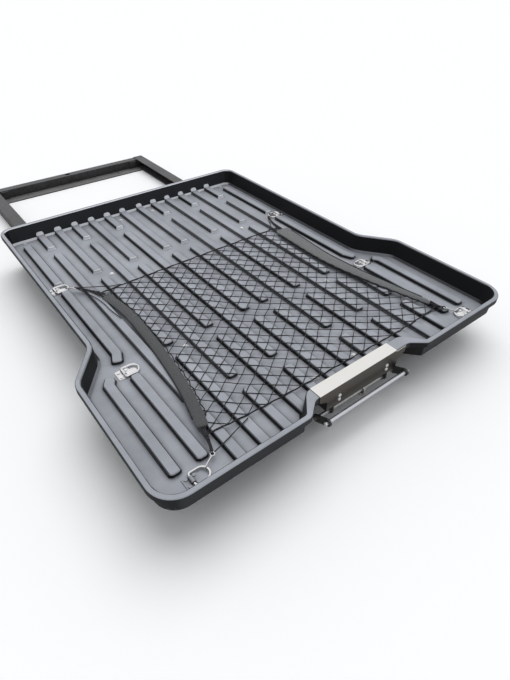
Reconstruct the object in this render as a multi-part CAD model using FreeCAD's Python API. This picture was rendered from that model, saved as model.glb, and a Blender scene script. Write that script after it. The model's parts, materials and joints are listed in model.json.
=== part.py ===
import FreeCAD
import Part
import math
import os

# Truck bed slide: a ribbed plastic tray on a steel carriage, which rolls in a base frame
# bolted to the bed floor. Millimetres, +X to the right, +Y to the cab, +Z up.
# The origin is the centre of the four bed bolt holes, at the underside of the base frame.
# Heights are counted from that underside. Places on the tray are counted along Y from the
# tray's rear lip, and moved by tray_rear when they are written.

Vec = FreeCAD.Vector

# Base frame
base_length = 1420.0
rail_span = 760.0          # between the rails' inner edges
rail_width = 50.0
rail_height = 44.0
rail_wall = 3.0
strap_width = 70.0
strap_thickness = 4.0
front_bar_width = 40.0
bar_wall = 2.5
bed_hole_span_x = 500.0
bed_hole_inset = 60.0       # from the base frame's front and rear ends
bed_hole_diameter = 9.0

# Travel of the tray along Y
extension_shown = 725.0
travel_left = 275.0        # from the place shown to full extension
closed_margin = 5.0        # the closed tray's rear lip stands this far inside the frame

# Carriage and its rollers
channel_width = 42.0
channel_side_gap = 8.0
channel_floor_gap = 2.0
bump_stop_play = 0.5
bump_stop_inset = 3.0
channel_rear = 85.0
channel_front = 1365.0
roller_diameter = 37.2
roller_length = 28.0
roller_play = 0.3
axle_diameter = 12.0
axle_play = 0.05
axle_head_diameter = 20.0
axle_head_thickness = 3.0
carriage_roller_front = 1340.0
carriage_roller_rear = 1135.0
base_roller_inset = 105.0   # from the rear end of the base rails
roller_side_gap = 5.0       # from a roller to the mouth of its channel
roller_end_play = 0.3
roller_chamfer = 1.5
beam_height = 45.5
beam_sheet = 2.5
beam_foot = 20.0
beam_half_length = 462.0
front_beam_half_length = 508.0

# Tray
tray_length = 1415.0
front_width = 1080.0
rear_width = 1255.0
tray_wall = 4.5
tray_depth = 65.0
lip_width = 15.0
lip_drop = 18.0
lip_round = 3.5
wall_draft = 4.0
cove = 7.0
rim_bevel = 2.5
jog_rear = 447.0
jog_front = 562.0
jog_radius = 65.0
rear_corner_radius = 72.0
front_corner_radius = 48.0
notch_mouth = 222.0        # half widths and depth of the notch in the rear lip
notch_bottom = 178.0
notch_depth = 35.0
shelf_bottom = 172.0
shelf_depth = 58.0
notch_radius = 26.0

# Raised ribs of the tray floor
rib_first = 39.7            # centre of the column next to the middle
rib_columns = 6             # from there to the column at the side
side_rib_inset = 71.9       # the side column's centre, from the tray's front width
rib_width = 36.0
rib_height = 12.0
rib_gap = 50.0
rib_corner = 13.0
odd_breaks = (473.0, 980.5)
even_breaks = (246.5, 1242.0)
side_rib_front = 1345.0
side_rib_bend = 556.0
side_rib_lean = 17.0        # how far the side rib leans out at its end, and where it ends
side_rib_end = 514.0
pod_rib_inset = 86.0        # from the tray's rear width
pod_rib_lean = 16.5
pod_rib_start = 474.0
pod_rib_bend = 448.0
pod_rib_rear = 94.0

# Fasteners on the tray floor
screw_diameter = 6.0
screw_hole_play = 0.1
screw_head_diameter = 13.0
screw_head_height = 3.5
washer_diameter = 16.0
washer_thickness = 1.5
nut_across = 10.0
nut_height = 5.0
screw_point = 2.0           # the screw's end past its nut
corner_screw_inset = (73.0, 35.0)    # from the tray's side and front
front_screw_inset = 78.0
beam_rows = (136.0, 468.0, 969.0)
beam_width = 50.0
front_beam_rear = 1300.0
front_beam_width = 110.0

# Lashing rings
ring_insets = (47.0, 52.0, 106.5)    # front, middle, rear: in from the tray's side
ring_rows = (978.0, 471.0, 64.5)
ring_wire = 6.5
ring_half_width = 19.0
ring_leg = 26.0
ring_corner = 6.0
ring_plate_size = (40.0, 38.0)
ring_plate_thickness = 2.5
ring_plate_corner = 4.0
ring_plate_gap = 0.35
saddle_length = 18.0
saddle_wall = 2.5
ring_screw_diameter = 5.0
ring_screw_inset = 8.5
ring_screw_head_diameter = 9.0
ring_screw_head_height = 2.0
small_nut_across = 9.0

# Handle and latch
plate_half_width = 165.0
flange_end = 124.0          # the folded top stops short on the right
flange_step = 4.0
plate_thickness = 2.0
plate_reach = 38.0
face_drop = 22.0
apron_half_width = 136.0
apron_shoulder = 14.0
apron_drop = 68.0
shaft_y = 48.0
shaft_height = 68.0
shaft_diameter = 10.0
pivot_play = 0.05
grip_y = 8.0
grip_height = 87.0
grip_diameter = 12.0
grip_half_length = 159.0
grip_bolt_head = 4.0
arm_x = 152.0
arm_thickness = 6.0
arm_width = 22.0
shaft_end = 3.0             # the shaft's end past the arm
crank_radius = 10.0
rod_diameter = 8.0
rod_x = 12.0
link_pin_diameter = 5.0
link_slot_play = 0.5
link_slot_rise = 0.6
lever_x = (18.0, 24.0)
pawl_y = 1350.0
pawl_height = 40.0
pawl_hub_diameter = 18.0
pawl_pin_diameter = 8.0
tooth_x = (-25.0, -10.0)
tooth_reach = 45.0
tooth_length = 12.0
tooth_gap = 0.5
tooth_slot_lead = 1.0       # the slot's middle, forward of the tooth's
pawl_arm_rise = 16.0
pawl_arm_depth = 10.0
pawl_hub_end = 6.0
pawl_side_play = 1.0
pawl_bracket_reach = (14.0, 16.0)
lock_slot_length = 17.0
lock_slot_side_play = 3.0
lock_block_x = (-35.0, 0.0)
bracket_x = (80.0, 107.0)
bracket_sheet = 3.0
bracket_top_drop = 25.0     # below the rim
bracket_foot_drop = 64.0
bracket_rise = 24.0         # above and below the shaft
bracket_fall = 14.0
bracket_bolt_x = 92.0
bracket_bolt_drops = (36.0, 50.0)
bracket_bolt_head = (10.0, 3.0)
bracket_bolt_end = 3.0
bracket_nut_height = 4.0
rod_hole_play = 3.0
guide_width = 30.0

# Cargo net, lying on the ribs
net_sheet = 3.0
net_play = 0.3
net_hook_wire = 3.5
net_hook_turns = {"front_left": 52.0, "front_right": 22.0, "rear_left": 27.0, "rear_right": 55.0}
hook_bend = (215.0, 100.0)  # degrees round the ring's wire where the bend starts and ends
hook_shank = 28.0
hook_eye_radius = 5.0
net_leg_width = 12.0
net_edge_slant = 60.0       # the net's front and rear edges rise to the corners over this
net_gap_margin = 8.0
net_left = ((-378.0, 866.0), (-362.0, 723.0), (-368.0, 580.0), (-394.0, 320.0), (-427.0, 148.0))
net_right = ((393.0, 866.0), (388.0, 720.0), (386.0, 560.0), (412.0, 340.0), (452.0, 132.0))
net_front_y = 868.0
net_rear_y = 126.0
net_hole = 50.0
net_pitch = 70.0
webbing_width_left = 32.0
webbing_width_right = 50.0
webbing_thickness = 2.5

# Places worked out from the sizes above
base_rear = -base_length / 2
base_front = base_length / 2
tray_rear = base_rear + closed_margin - extension_shown
rail_x = rail_span / 2
rail_web_x = rail_x + rail_width - rail_wall
rail_floor = strap_thickness + rail_wall
rail_top = strap_thickness + rail_height
roller_radius = roller_diameter / 2
carriage_roller_height = rail_floor + roller_play + roller_radius
channel_tip_x = rail_x - channel_side_gap
channel_web_x = channel_tip_x - channel_width
channel_bottom = strap_thickness + channel_floor_gap
channel_top = channel_bottom + rail_height
base_roller_height = channel_top - rail_wall - roller_play - roller_radius
base_roller_y = base_rear + base_roller_inset
tray_underside = channel_top + beam_height
tray_floor = tray_underside + tray_wall
rim = tray_floor + tray_depth
bar_top = rail_top - rail_wall
bed_hole_span_y = base_length - 2 * bed_hole_inset
side_rib_x = front_width / 2 - side_rib_inset
rib_pitch = (side_rib_x - rib_first) / rib_columns
pod_rib_x = rear_width / 2 - pod_rib_inset
corner_screw = (front_width / 2 - corner_screw_inset[0], tray_length - corner_screw_inset[1])
front_screw = (rib_first + rib_pitch / 2, tray_length - front_screw_inset)
side_screw_x = front_screw[0] + 3 * rib_pitch
ring_places = ((front_width / 2 - ring_insets[0], ring_rows[0]),
               (front_width / 2 - ring_insets[1], ring_rows[1]),
               (rear_width / 2 - ring_insets[2], ring_rows[2]))
base_roller_x = channel_tip_x - roller_side_gap - roller_length
carriage_roller_x = rail_x + roller_side_gap
tooth_y = pawl_y + tooth_reach
lock_y = tooth_y + tooth_slot_lead
crank_height = shaft_height - crank_radius


def box(x0, x1, y0, y1, z0, z1):
    return Part.makeBox(x1 - x0, y1 - y0, z1 - z0, Vec(x0, y0, z0))


def round_x(x0, x1, y, z, diameter):
    return Part.makeCylinder(diameter / 2, x1 - x0, Vec(x0, y, z), Vec(1, 0, 0))


def round_y(y0, y1, x, z, diameter):
    return Part.makeCylinder(diameter / 2, y1 - y0, Vec(x, y0, z), Vec(0, 1, 0))


def round_z(z0, z1, x, y, diameter):
    return Part.makeCylinder(diameter / 2, z1 - z0, Vec(x, y, z0), Vec(0, 0, 1))


def mirrored(shape):
    return shape.mirror(Vec(0, 0, 0), Vec(1, 0, 0))


def pair(shape):
    return [shape, mirrored(shape)]


def plate_x(points, x0, x1):
    """A flat plate across X, from its outline in Y and Z."""
    corners = [Vec(x0, y, z) for y, z in points]
    face = Part.Face(Part.makePolygon(corners + corners[:1]))
    return face.extrude(Vec(x1 - x0, 0, 0))


def stadium_x(y0, z0, y1, z1, width, x0, x1):
    """A flat bar across X with round ends at two points."""
    run = math.hypot(y1 - y0, z1 - z0)
    side_y = -(z1 - z0) / run * width / 2
    side_z = (y1 - y0) / run * width / 2
    corners = ((y0 + side_y, z0 + side_z), (y1 + side_y, z1 + side_z),
               (y1 - side_y, z1 - side_z), (y0 - side_y, z0 - side_z))
    bar = plate_x(corners, x0, x1)
    return bar.fuse([round_x(x0, x1, y0, z0, width), round_x(x0, x1, y1, z1, width)]).removeSplitter()


# A loop is a closed outline in X and Y, counter-clockwise: corners (x, y, corner radius).

def inset(loop, distance):
    """The loop moved inwards all round, with its corner arcs kept concentric."""
    moved = []
    count = len(loop)
    for i, (x, y, radius) in enumerate(loop):
        before = loop[i - 1]
        after = loop[(i + 1) % count]
        ax, ay = x - before[0], y - before[1]
        bx, by = after[0] - x, after[1] - y
        a_len, b_len = math.hypot(ax, ay), math.hypot(bx, by)
        ax, ay, bx, by = ax / a_len, ay / a_len, bx / b_len, by / b_len
        turn = ax * by - ay * bx
        scale = distance / (1 + ax * bx + ay * by)
        new_radius = radius - distance if turn > 0 else radius + distance
        moved.append((x - (ay + by) * scale, y + (ax + bx) * scale, max(new_radius, 0.5)))
    return moved


def loop_wire(loop, z):
    """The loop as a wire at height z, with an arc at each corner."""
    edges = []
    count = len(loop)
    ends = []
    for i, (x, y, radius) in enumerate(loop):
        corner = Vec(x, y, z)
        back = (Vec(loop[i - 1][0], loop[i - 1][1], z) - corner).normalize()
        ahead_point = loop[(i + 1) % count]
        ahead = (Vec(ahead_point[0], ahead_point[1], z) - corner).normalize()
        half = back.getAngle(ahead) / 2
        reach = radius / math.tan(half)
        middle = (back + ahead).normalize() * (radius / math.sin(half) - radius)
        ends.append((corner + back * reach, corner + middle, corner + ahead * reach))
    for i, (start, middle, end) in enumerate(ends):
        edges.append(Part.Arc(start, middle, end).toShape())
        following = ends[(i + 1) % count][0]
        edges.append(Part.makeLine(end, following))
    return Part.Wire(edges)


def prism(loop, z0, z1):
    return Part.Face(loop_wire(loop, z0)).extrude(Vec(0, 0, z1 - z0))


def stack(sections):
    """A solid through loops at rising heights, with straight walls between them."""
    return Part.makeLoft([loop_wire(loop, z) for loop, z in sections], True, True)


def band(path, half_width, radius):
    """The loop round a path of two or more points, square at both ends."""
    left, right = [], []
    for i, (x, y) in enumerate(path):
        before = path[max(i - 1, 0)]
        after = path[min(i + 1, len(path) - 1)]
        ax, ay = x - before[0], y - before[1]
        bx, by = after[0] - x, after[1] - y
        if i == 0:
            ax, ay = bx, by
        if i == len(path) - 1:
            bx, by = ax, ay
        a_len, b_len = math.hypot(ax, ay), math.hypot(bx, by)
        ax, ay, bx, by = ax / a_len, ay / a_len, bx / b_len, by / b_len
        scale = half_width / (1 + ax * bx + ay * by)
        side_x, side_y = -(ay + by) * scale, (ax + bx) * scale
        left.append((x + side_x, y + side_y, radius))
        right.append((x - side_x, y - side_y, radius))
    return right + left[::-1]


def tray_loop(mouth, bottom, depth):
    """The tray's plan outline, with a notch of the given half widths and depth at the rear."""
    front_x, rear_x = front_width / 2, rear_width / 2
    half = [(bottom, depth, notch_radius), (mouth, 0, notch_radius),
            (rear_x, 0, rear_corner_radius), (rear_x, jog_rear, jog_radius),
            (front_x, jog_front, jog_radius), (front_x, tray_length, front_corner_radius)]
    return half + [(-x, y, radius) for x, y, radius in reversed(half)]


def rib_runs(column):
    """The front and rear ends of the ribs in one column, counted from the tray's middle."""
    breaks = odd_breaks if column % 2 == 0 else even_breaks
    rear, front = lip_width, tray_length - lip_width
    runs = []
    for y in breaks:
        runs.append((rear, y - rib_gap / 2))
        rear = y + rib_gap / 2
    runs.append((rear, front))
    return runs


def rib_paths():
    """Centre lines of the ribs on the right-hand half of the floor."""
    paths = []
    for column in range(rib_columns):
        x = rib_first + rib_pitch * column
        for rear, front in rib_runs(column):
            paths.append([(x, rear), (x, front)])
    paths.append([(side_rib_x, pod_rib_rear), (side_rib_x, odd_breaks[0] - rib_gap / 2)])
    paths.append([(side_rib_x + side_rib_lean, side_rib_end), (side_rib_x, side_rib_bend),
                  (side_rib_x, odd_breaks[1] - rib_gap / 2)])
    paths.append([(side_rib_x, odd_breaks[1] + rib_gap / 2), (side_rib_x, side_rib_front)])
    paths.append([(pod_rib_x, pod_rib_rear), (pod_rib_x, pod_rib_bend),
                  (pod_rib_x - pod_rib_lean, pod_rib_start)])
    return paths


def rib_solid(path):
    """One raised rib: a foot, a steep side and a rounded-off top."""
    foot = band(path, rib_width / 2, rib_corner)
    sections = ((0.0, -1.0), (0.0, 0.0), (1.5, 1.8), (3.3, rib_height - 2.2), (5.8, rib_height))
    return stack([(inset(foot, step), tray_floor + up) for step, up in sections])


def rib_hollow(path):
    """The hollow under one rib, a wall's thickness inside it."""
    foot = band(path, rib_width / 2, rib_corner)
    low = inset(foot, tray_wall)
    high = inset(foot, tray_wall + 3.3)
    return stack([(low, tray_underside - 1.0), (high, tray_floor + rib_height - tray_wall)])


def hollow_path(path):
    """The rib's path, ended short of the front and rear walls."""
    end = lip_width + wall_draft + 2 * tray_wall
    low = shelf_depth + lip_width + wall_draft + 2 * tray_wall
    rear_limit = low if abs(path[0][0]) < notch_mouth + rib_pitch / 2 else end
    first = (path[0][0], max(path[0][1], rear_limit))
    last = (path[-1][0], min(path[-1][1], tray_length - end))
    return [first] + path[1:-1] + [last]


def screw_places():
    right = [corner_screw, front_screw, (side_screw_x, beam_rows[2]),
             (side_screw_x, beam_rows[1]), (front_screw[0], beam_rows[0])]
    return right + [(-x, y) for x, y in right]


def ring_sites():
    """Name, side and place of each lashing ring."""
    names = ("front", "middle", "rear")
    sites = []
    for name, (x, y) in zip(names, ring_places):
        sites.append((name + "_right", 1, x, y))
        sites.append((name + "_left", -1, -x, y))
    return sites


def ring_screw_places(x, y):
    half_y = ring_plate_size[1] / 2 - ring_screw_inset
    offset_x = ring_plate_size[0] / 2 - ring_screw_inset
    return [(x + offset_x * side, y + half_y * end) for side in (-1, 1) for end in (-1, 1)]


def tray():
    lip_loop = tray_loop(notch_mouth, notch_bottom, notch_depth)
    rim_loop = tray_loop(notch_mouth, shelf_bottom, shelf_depth)
    lip = prism(lip_loop, rim - lip_drop, rim)
    top_edges = [e for e in lip.Edges if abs(e.BoundBox.ZMin - rim) < 0.01]
    lip = lip.makeFillet(lip_round, top_edges)
    lip = lip.cut(prism(inset(lip_loop, tray_wall), rim - lip_drop - 1, rim - tray_wall))
    outside = stack([(inset(rim_loop, lip_width + wall_draft + cove - tray_wall), tray_underside),
                     (inset(rim_loop, lip_width + wall_draft - tray_wall), tray_underside + cove),
                     (inset(rim_loop, lip_width - tray_wall), rim - lip_round)])
    inside = stack([(inset(rim_loop, lip_width + wall_draft + cove), tray_floor),
                    (inset(rim_loop, lip_width + wall_draft), tray_floor + cove),
                    (inset(rim_loop, lip_width), rim - rim_bevel),
                    (inset(rim_loop, lip_width - rim_bevel), rim + 0.01)])
    paths = rib_paths()
    ribs = [rib_solid(path) for path in paths]
    hollows = [rib_hollow(hollow_path(path)) for path in paths]
    inside = inside.cut(ribs + [mirrored(rib) for rib in ribs])
    holes = [round_z(tray_underside - 1, tray_floor + 1, x, y, screw_diameter + 2 * screw_hole_play)
             for x, y in screw_places()]
    for name, side, x, y in ring_sites():
        for hole_x, hole_y in ring_screw_places(x, y):
            diameter = ring_screw_diameter + 2 * screw_hole_play
            holes.append(round_z(tray_underside - 1, tray_floor + 1, hole_x, hole_y, diameter))
    shell = outside.fuse(lip).cut(inside)
    return shell.cut(hollows + [mirrored(hollow) for hollow in hollows] + holes)


def base_rail():
    outer = box(rail_x, rail_x + rail_width, base_rear, base_front, strap_thickness, rail_top)
    inner = box(rail_x - 1, rail_web_x, base_rear - 1, base_front + 1, rail_floor, bar_top)
    axle = round_x(rail_web_x - 1, rail_x + rail_width + 1, base_roller_y, base_roller_height,
                   axle_diameter)
    return outer.cut([inner, axle])


def base_strap(y, with_bed_holes):
    half = rail_x + rail_width
    strap = box(-half, half, y - strap_width / 2, y + strap_width / 2, 0, strap_thickness)
    if with_bed_holes:
        strap = strap.cut(pair(round_z(-1, strap_thickness + 1, bed_hole_span_x / 2, y,
                                       bed_hole_diameter)))
    return strap


def lock_slot(y):
    """The slot that the pawl's tooth drops into, at a place along the base frame."""
    return box(tooth_x[0] - lock_slot_side_play, tooth_x[1] + lock_slot_side_play,
               y - lock_slot_length / 2, y + lock_slot_length / 2,
               bar_top - bar_wall - 1, bar_top + 1)


def base_front_bar():
    rear = base_front - front_bar_width
    outer = box(-rail_web_x, rail_web_x, rear, base_front, rail_floor, bar_top)
    inner = box(-rail_web_x - 1, rail_web_x + 1, rear + bar_wall, base_front - bar_wall,
                rail_floor + bar_wall, bar_top - bar_wall)
    return outer.cut([inner, lock_slot(lock_y + tray_rear + extension_shown)])


def lock_block(y):
    half = front_bar_width / 2
    outer = box(lock_block_x[0], lock_block_x[1], y - half, y + half, strap_thickness, bar_top)
    inner = box(lock_block_x[0] - 1, lock_block_x[1] + 1, y - half + bar_wall,
                y + half - bar_wall, strap_thickness + bar_wall, bar_top - bar_wall)
    return outer.cut([inner, lock_slot(y)])


def bump_stops():
    rear = channel_front + tray_rear + extension_shown + bump_stop_play
    front = base_front - front_bar_width
    return pair(box(channel_web_x + bump_stop_inset, channel_tip_x - bump_stop_inset, rear, front,
                    rail_floor + bump_stop_inset, bar_top - bump_stop_inset))


def carriage_rail():
    outer = box(channel_web_x, channel_tip_x, channel_rear, channel_front,
                channel_bottom, channel_top)
    inner = box(channel_web_x + rail_wall, channel_tip_x + 1, channel_rear - 1,
                channel_front + 1, channel_bottom + rail_wall, channel_top - rail_wall)
    axles = [round_x(channel_web_x - 1, channel_web_x + rail_wall + 1, y, carriage_roller_height,
                      axle_diameter) for y in (carriage_roller_rear, carriage_roller_front)]
    return outer.cut([inner] + axles)


def roller(x0, y, z):
    body = round_x(x0, x0 + roller_length, y, z, roller_diameter)
    body = body.makeChamfer(roller_chamfer, [e for e in body.Edges if len(e.Vertexes) == 1])
    return body.cut(round_x(x0 - 1, x0 + roller_length + 1, y, z, axle_diameter + 2 * axle_play))


def carriage_roller(y):
    return roller(carriage_roller_x, y, carriage_roller_height)


def base_roller():
    return roller(base_roller_x, base_roller_y, base_roller_height)


def carriage_axle(y):
    """A stepped pin from the channel's web, with a collar before the roller and a head past it."""
    z = carriage_roller_height
    head_x = carriage_roller_x + roller_length + roller_end_play
    pin = round_x(channel_web_x, head_x, y, z, axle_diameter)
    collar = round_x(channel_web_x + rail_wall, carriage_roller_x - roller_end_play, y, z,
                     axle_head_diameter)
    head = round_x(head_x, head_x + axle_head_thickness, y, z, axle_head_diameter)
    return pin.fuse([collar, head]).removeSplitter()


def base_axle():
    z = base_roller_height
    head_x = base_roller_x - roller_end_play
    pin = round_x(head_x, rail_x + rail_width, base_roller_y, z, axle_diameter)
    collar = round_x(base_roller_x + roller_length + roller_end_play, rail_web_x, base_roller_y, z,
                     axle_head_diameter)
    head = round_x(head_x - axle_head_thickness, head_x, base_roller_y, z, axle_head_diameter)
    return pin.fuse([collar, head]).removeSplitter()


def cross_beam(rear, width, half):
    """A folded top-hat beam under the tray, its feet on the carriage channels."""
    front = rear + width
    outer = box(-half, half, rear, front, channel_top, tray_underside)
    inner = box(-half - 1, half + 1, rear + beam_sheet, front - beam_sheet,
                channel_top - 1, tray_underside - beam_sheet)
    feet = [box(-half, half, rear - beam_foot, rear, channel_top, channel_top + beam_sheet)]
    if front + beam_foot < tray_length:
        feet.append(box(-half, half, front, front + beam_foot, channel_top,
                        channel_top + beam_sheet))
    beam = outer.cut(inner).fuse(feet).removeSplitter()
    holes = [round_z(tray_underside - beam_sheet - 1, tray_underside + 1, x, y,
                     screw_diameter + 2 * screw_hole_play)
             for x, y in screw_places() if rear < y < front]
    rod_end = min(front + 1, pawl_y)
    holes.append(round_y(rear - 1, rod_end, rod_x, crank_height,
                         rod_diameter + 2 * rod_hole_play))
    return beam.cut(holes)


def tray_screw(x, y):
    """A round-head screw through washer, floor and beam."""
    seat = tray_floor + washer_thickness
    foot = tray_underside - beam_sheet - nut_height - screw_point
    head = Part.makeSphere(screw_head_diameter / 2, Vec(x, y, seat))
    head = head.common(box(x - screw_head_diameter, x + screw_head_diameter,
                           y - screw_head_diameter, y + screw_head_diameter,
                           seat, seat + screw_head_height))
    return head.fuse(round_z(foot, seat + 1, x, y, screw_diameter)).removeSplitter()


def tray_washer(x, y):
    ring = round_z(tray_floor, tray_floor + washer_thickness, x, y, washer_diameter)
    return ring.cut(round_z(tray_floor - 1, tray_floor + washer_thickness + 1, x, y,
                            screw_diameter + 2 * screw_hole_play))


def hexagon(x, y, z0, z1, across):
    """A hexagonal prism along Z."""
    radius = across / math.sqrt(3)
    corners = [Vec(x + radius * math.cos(math.radians(60 * i)),
                   y + radius * math.sin(math.radians(60 * i)), z0) for i in range(7)]
    return Part.Face(Part.makePolygon(corners)).extrude(Vec(0, 0, z1 - z0))


def tray_nut(x, y):
    top = tray_underside - beam_sheet
    nut = hexagon(x, y, top - nut_height, top, nut_across)
    return nut.cut(round_z(top - nut_height - 1, top + 1, x, y, screw_diameter))


def ring_hinge_height():
    return tray_floor + ring_plate_thickness + ring_plate_gap + ring_wire / 2


def ring_plate(x, y):
    """A plate on the tray floor with the saddle that the ring's bar turns in."""
    half_x, half_y = ring_plate_size[0] / 2, ring_plate_size[1] / 2
    corners = [(x - half_x, y - half_y), (x + half_x, y - half_y),
               (x + half_x, y + half_y), (x - half_x, y + half_y)]
    loop = [(px, py, ring_plate_corner) for px, py in corners]
    top = tray_floor + ring_plate_thickness
    hinge = ring_hinge_height()
    bore = ring_wire + 2 * pivot_play
    outer = bore / 2 + saddle_wall
    half = saddle_length / 2
    saddle = box(x - outer, x + outer, y - half, y + half, top - 0.5, hinge)
    saddle = saddle.fuse(round_y(y - half, y + half, x, hinge, 2 * outer))
    saddle = saddle.cut(box(x - outer, x + outer, y - half, y + half, tray_floor - 9, top - 0.5))
    plate = prism(loop, tray_floor, top).fuse(saddle).removeSplitter()
    holes = [round_z(tray_floor - 1, top + 1, hole_x, hole_y,
                     ring_screw_diameter + 2 * screw_hole_play)
             for hole_x, hole_y in ring_screw_places(x, y)]
    return plate.cut([round_y(y - half - 1, y + half + 1, x, hinge, bore)] + holes)


def ring_screw(x, y):
    """A low-head screw with its nut under the tray floor."""
    seat = tray_floor + ring_plate_thickness
    foot = tray_underside - nut_height
    head = round_z(seat, seat + ring_screw_head_height, x, y, ring_screw_head_diameter)
    shank = round_z(foot, seat, x, y, ring_screw_diameter)
    nut = hexagon(x, y, foot, tray_underside, small_nut_across)
    return head.fuse([shank, nut]).removeSplitter()


def d_ring(side, x, y):
    """A closed ring of round wire: a straight bar, two legs and a half circle."""
    w, r = ring_half_width, ring_corner
    slant = r * (1 - math.sqrt(0.5))
    points = [Vec(0, -w + r, 0), Vec(0, w - r, 0), Vec(-slant, w - slant, 0), Vec(-r, w, 0),
              Vec(-ring_leg, w, 0), Vec(-ring_leg - w, 0, 0), Vec(-ring_leg, -w, 0),
              Vec(-r, -w, 0), Vec(-slant, -w + slant, 0)]
    edges = [Part.makeLine(points[0], points[1]),
             Part.Arc(points[1], points[2], points[3]).toShape(),
             Part.makeLine(points[3], points[4]),
             Part.Arc(points[4], points[5], points[6]).toShape(),
             Part.makeLine(points[6], points[7]),
             Part.Arc(points[7], points[8], points[0]).toShape()]
    profile = Part.Wire(Part.Circle(points[0], Vec(0, 1, 0), ring_wire / 2).toShape())
    ring = Part.Wire(edges).makePipeShell([profile], True, True)
    ring = mirrored(ring) if side < 0 else ring
    return ring.translated(Vec(x, y, ring_hinge_height()))


def hook_line(degrees):
    """A place on the hook's bend round the ring's wire, and the wire's heading there."""
    turn = ring_wire / 2 + net_hook_wire / 2 + pivot_play
    angle = math.radians(degrees)
    place = Vec(ring_half_width + turn * math.cos(angle), 0, turn * math.sin(angle))
    return place, Vec(math.sin(angle), 0, -math.cos(angle))


def hook_eye_centre():
    end, heading = hook_line(hook_bend[1])
    return end + heading * (hook_shank + hook_eye_radius)


def net_hook(name, side, x, y):
    """A wire hook over the ring's half circle, turned towards the net, with an eye."""
    start, start_heading = hook_line(hook_bend[0])
    middle, middle_heading = hook_line((hook_bend[0] + hook_bend[1]) / 2)
    end, heading = hook_line(hook_bend[1])
    path = Part.Wire([Part.Arc(start, middle, end).toShape(),
                      Part.makeLine(end, end + heading * hook_shank)])
    profile = Part.Wire(Part.Circle(start, start_heading, net_hook_wire / 2).toShape())
    hook = path.makePipeShell([profile], True, False)
    eye = Part.makeTorus(hook_eye_radius, net_hook_wire / 2, hook_eye_centre(),
                         Vec(-heading.z, 0, heading.x))
    hook = hook.fuse(eye).removeSplitter()
    towards_middle = 1 if y > tray_length / 2 else -1
    hook = hook.rotated(Vec(0, 0, 0), Vec(0, 0, 1), 180 + towards_middle * net_hook_turns[name])
    hook = hook.translated(Vec(-ring_leg, 0, 0))
    hook = mirrored(hook) if side < 0 else hook
    return hook.translated(Vec(x, y, ring_hinge_height()))


def net_leg_end(name, side, x, y):
    """Where the net's corner cord meets the hook's eye."""
    reach = hook_eye_centre().x + hook_eye_radius + net_hook_wire / 2 + net_play
    angle = math.radians(net_hook_turns[name])
    towards_middle = 1 if y > tray_length / 2 else -1
    return (x - side * (ring_leg + reach * math.cos(angle)),
            y - towards_middle * reach * math.sin(angle))


def handle_plate():
    """Folded sheet over the notch's lip, with an apron hanging in front of the tray."""
    rear = notch_depth - plate_thickness
    top = box(-plate_half_width, flange_end, rear, rear + plate_reach,
              rim, rim + plate_thickness)
    outline = ((-plate_half_width, rim + plate_thickness),
               (flange_end, rim + plate_thickness), (flange_end, rim - flange_step),
               (plate_half_width, rim - flange_step),
               (plate_half_width, rim - face_drop),
               (apron_half_width, rim - face_drop - apron_shoulder),
               (apron_half_width, rim - apron_drop), (-apron_half_width, rim - apron_drop),
               (-apron_half_width, rim - face_drop - apron_shoulder),
               (-plate_half_width, rim - face_drop))
    corners = [Vec(x, rear, z) for x, z in outline]
    face = Part.Face(Part.makePolygon(corners + corners[:1])).extrude(Vec(0, plate_thickness, 0))
    plate = top.fuse(face).removeSplitter()
    bend = [e for e in plate.Edges if e.Length > plate_half_width + flange_end - 1
            and abs(e.BoundBox.ZMin - rim - plate_thickness) < 0.01
            and abs(e.BoundBox.YMin - rear) < 0.01]
    plate = plate.makeFillet(plate_thickness, bend)
    holes = [round_y(rear - 1, notch_depth + 1, side * bracket_bolt_x, rim - drop,
                     ring_screw_diameter + 2 * screw_hole_play)
             for side in (-1, 1) for drop in bracket_bolt_drops]
    return plate.cut(holes)


def handle_bracket():
    """A flange behind the apron and a cheek that carries the handle shaft to the rear beam."""
    rear = notch_depth
    high, low = rim - bracket_top_drop, shaft_height + bracket_rise
    beam_rear = beam_rows[0] - beam_width / 2
    foot = shaft_height - bracket_fall
    cheek = plate_x(((rear, high), (shaft_y + shaft_diameter, high), (shaft_y + shaft_diameter, low),
                     (beam_rear, low), (beam_rear, foot), (shaft_y, foot),
                     (rear, shaft_height)), bracket_x[1] - bracket_sheet, bracket_x[1])
    flange = box(bracket_x[0], bracket_x[1], rear, rear + bracket_sheet,
                 rim - bracket_foot_drop, high)
    bore = round_x(bracket_x[0], bracket_x[1] + 1, shaft_y, shaft_height,
                   shaft_diameter + 2 * pivot_play)
    holes = [round_y(rear - 1, rear + bracket_sheet + 1, bracket_bolt_x, rim - drop,
                     ring_screw_diameter + 2 * screw_hole_play) for drop in bracket_bolt_drops]
    return cheek.fuse(flange).removeSplitter().cut([bore] + holes)


def bracket_bolt(x, drop):
    """A button-head bolt through apron and flange, with its nut."""
    rear = notch_depth - plate_thickness
    inner = notch_depth + bracket_sheet
    z = rim - drop
    diameter, height = bracket_bolt_head
    head = Part.makeSphere(diameter / 2, Vec(x, rear, z))
    head = head.common(box(x - diameter, x + diameter, rear - height, rear,
                           z - diameter, z + diameter))
    shank = round_y(rear, inner + bracket_nut_height + bracket_bolt_end, x, z, ring_screw_diameter)
    nut = round_y(inner, inner + bracket_nut_height, x, z, small_nut_across)
    return head.fuse([shank, nut]).removeSplitter()


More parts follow.
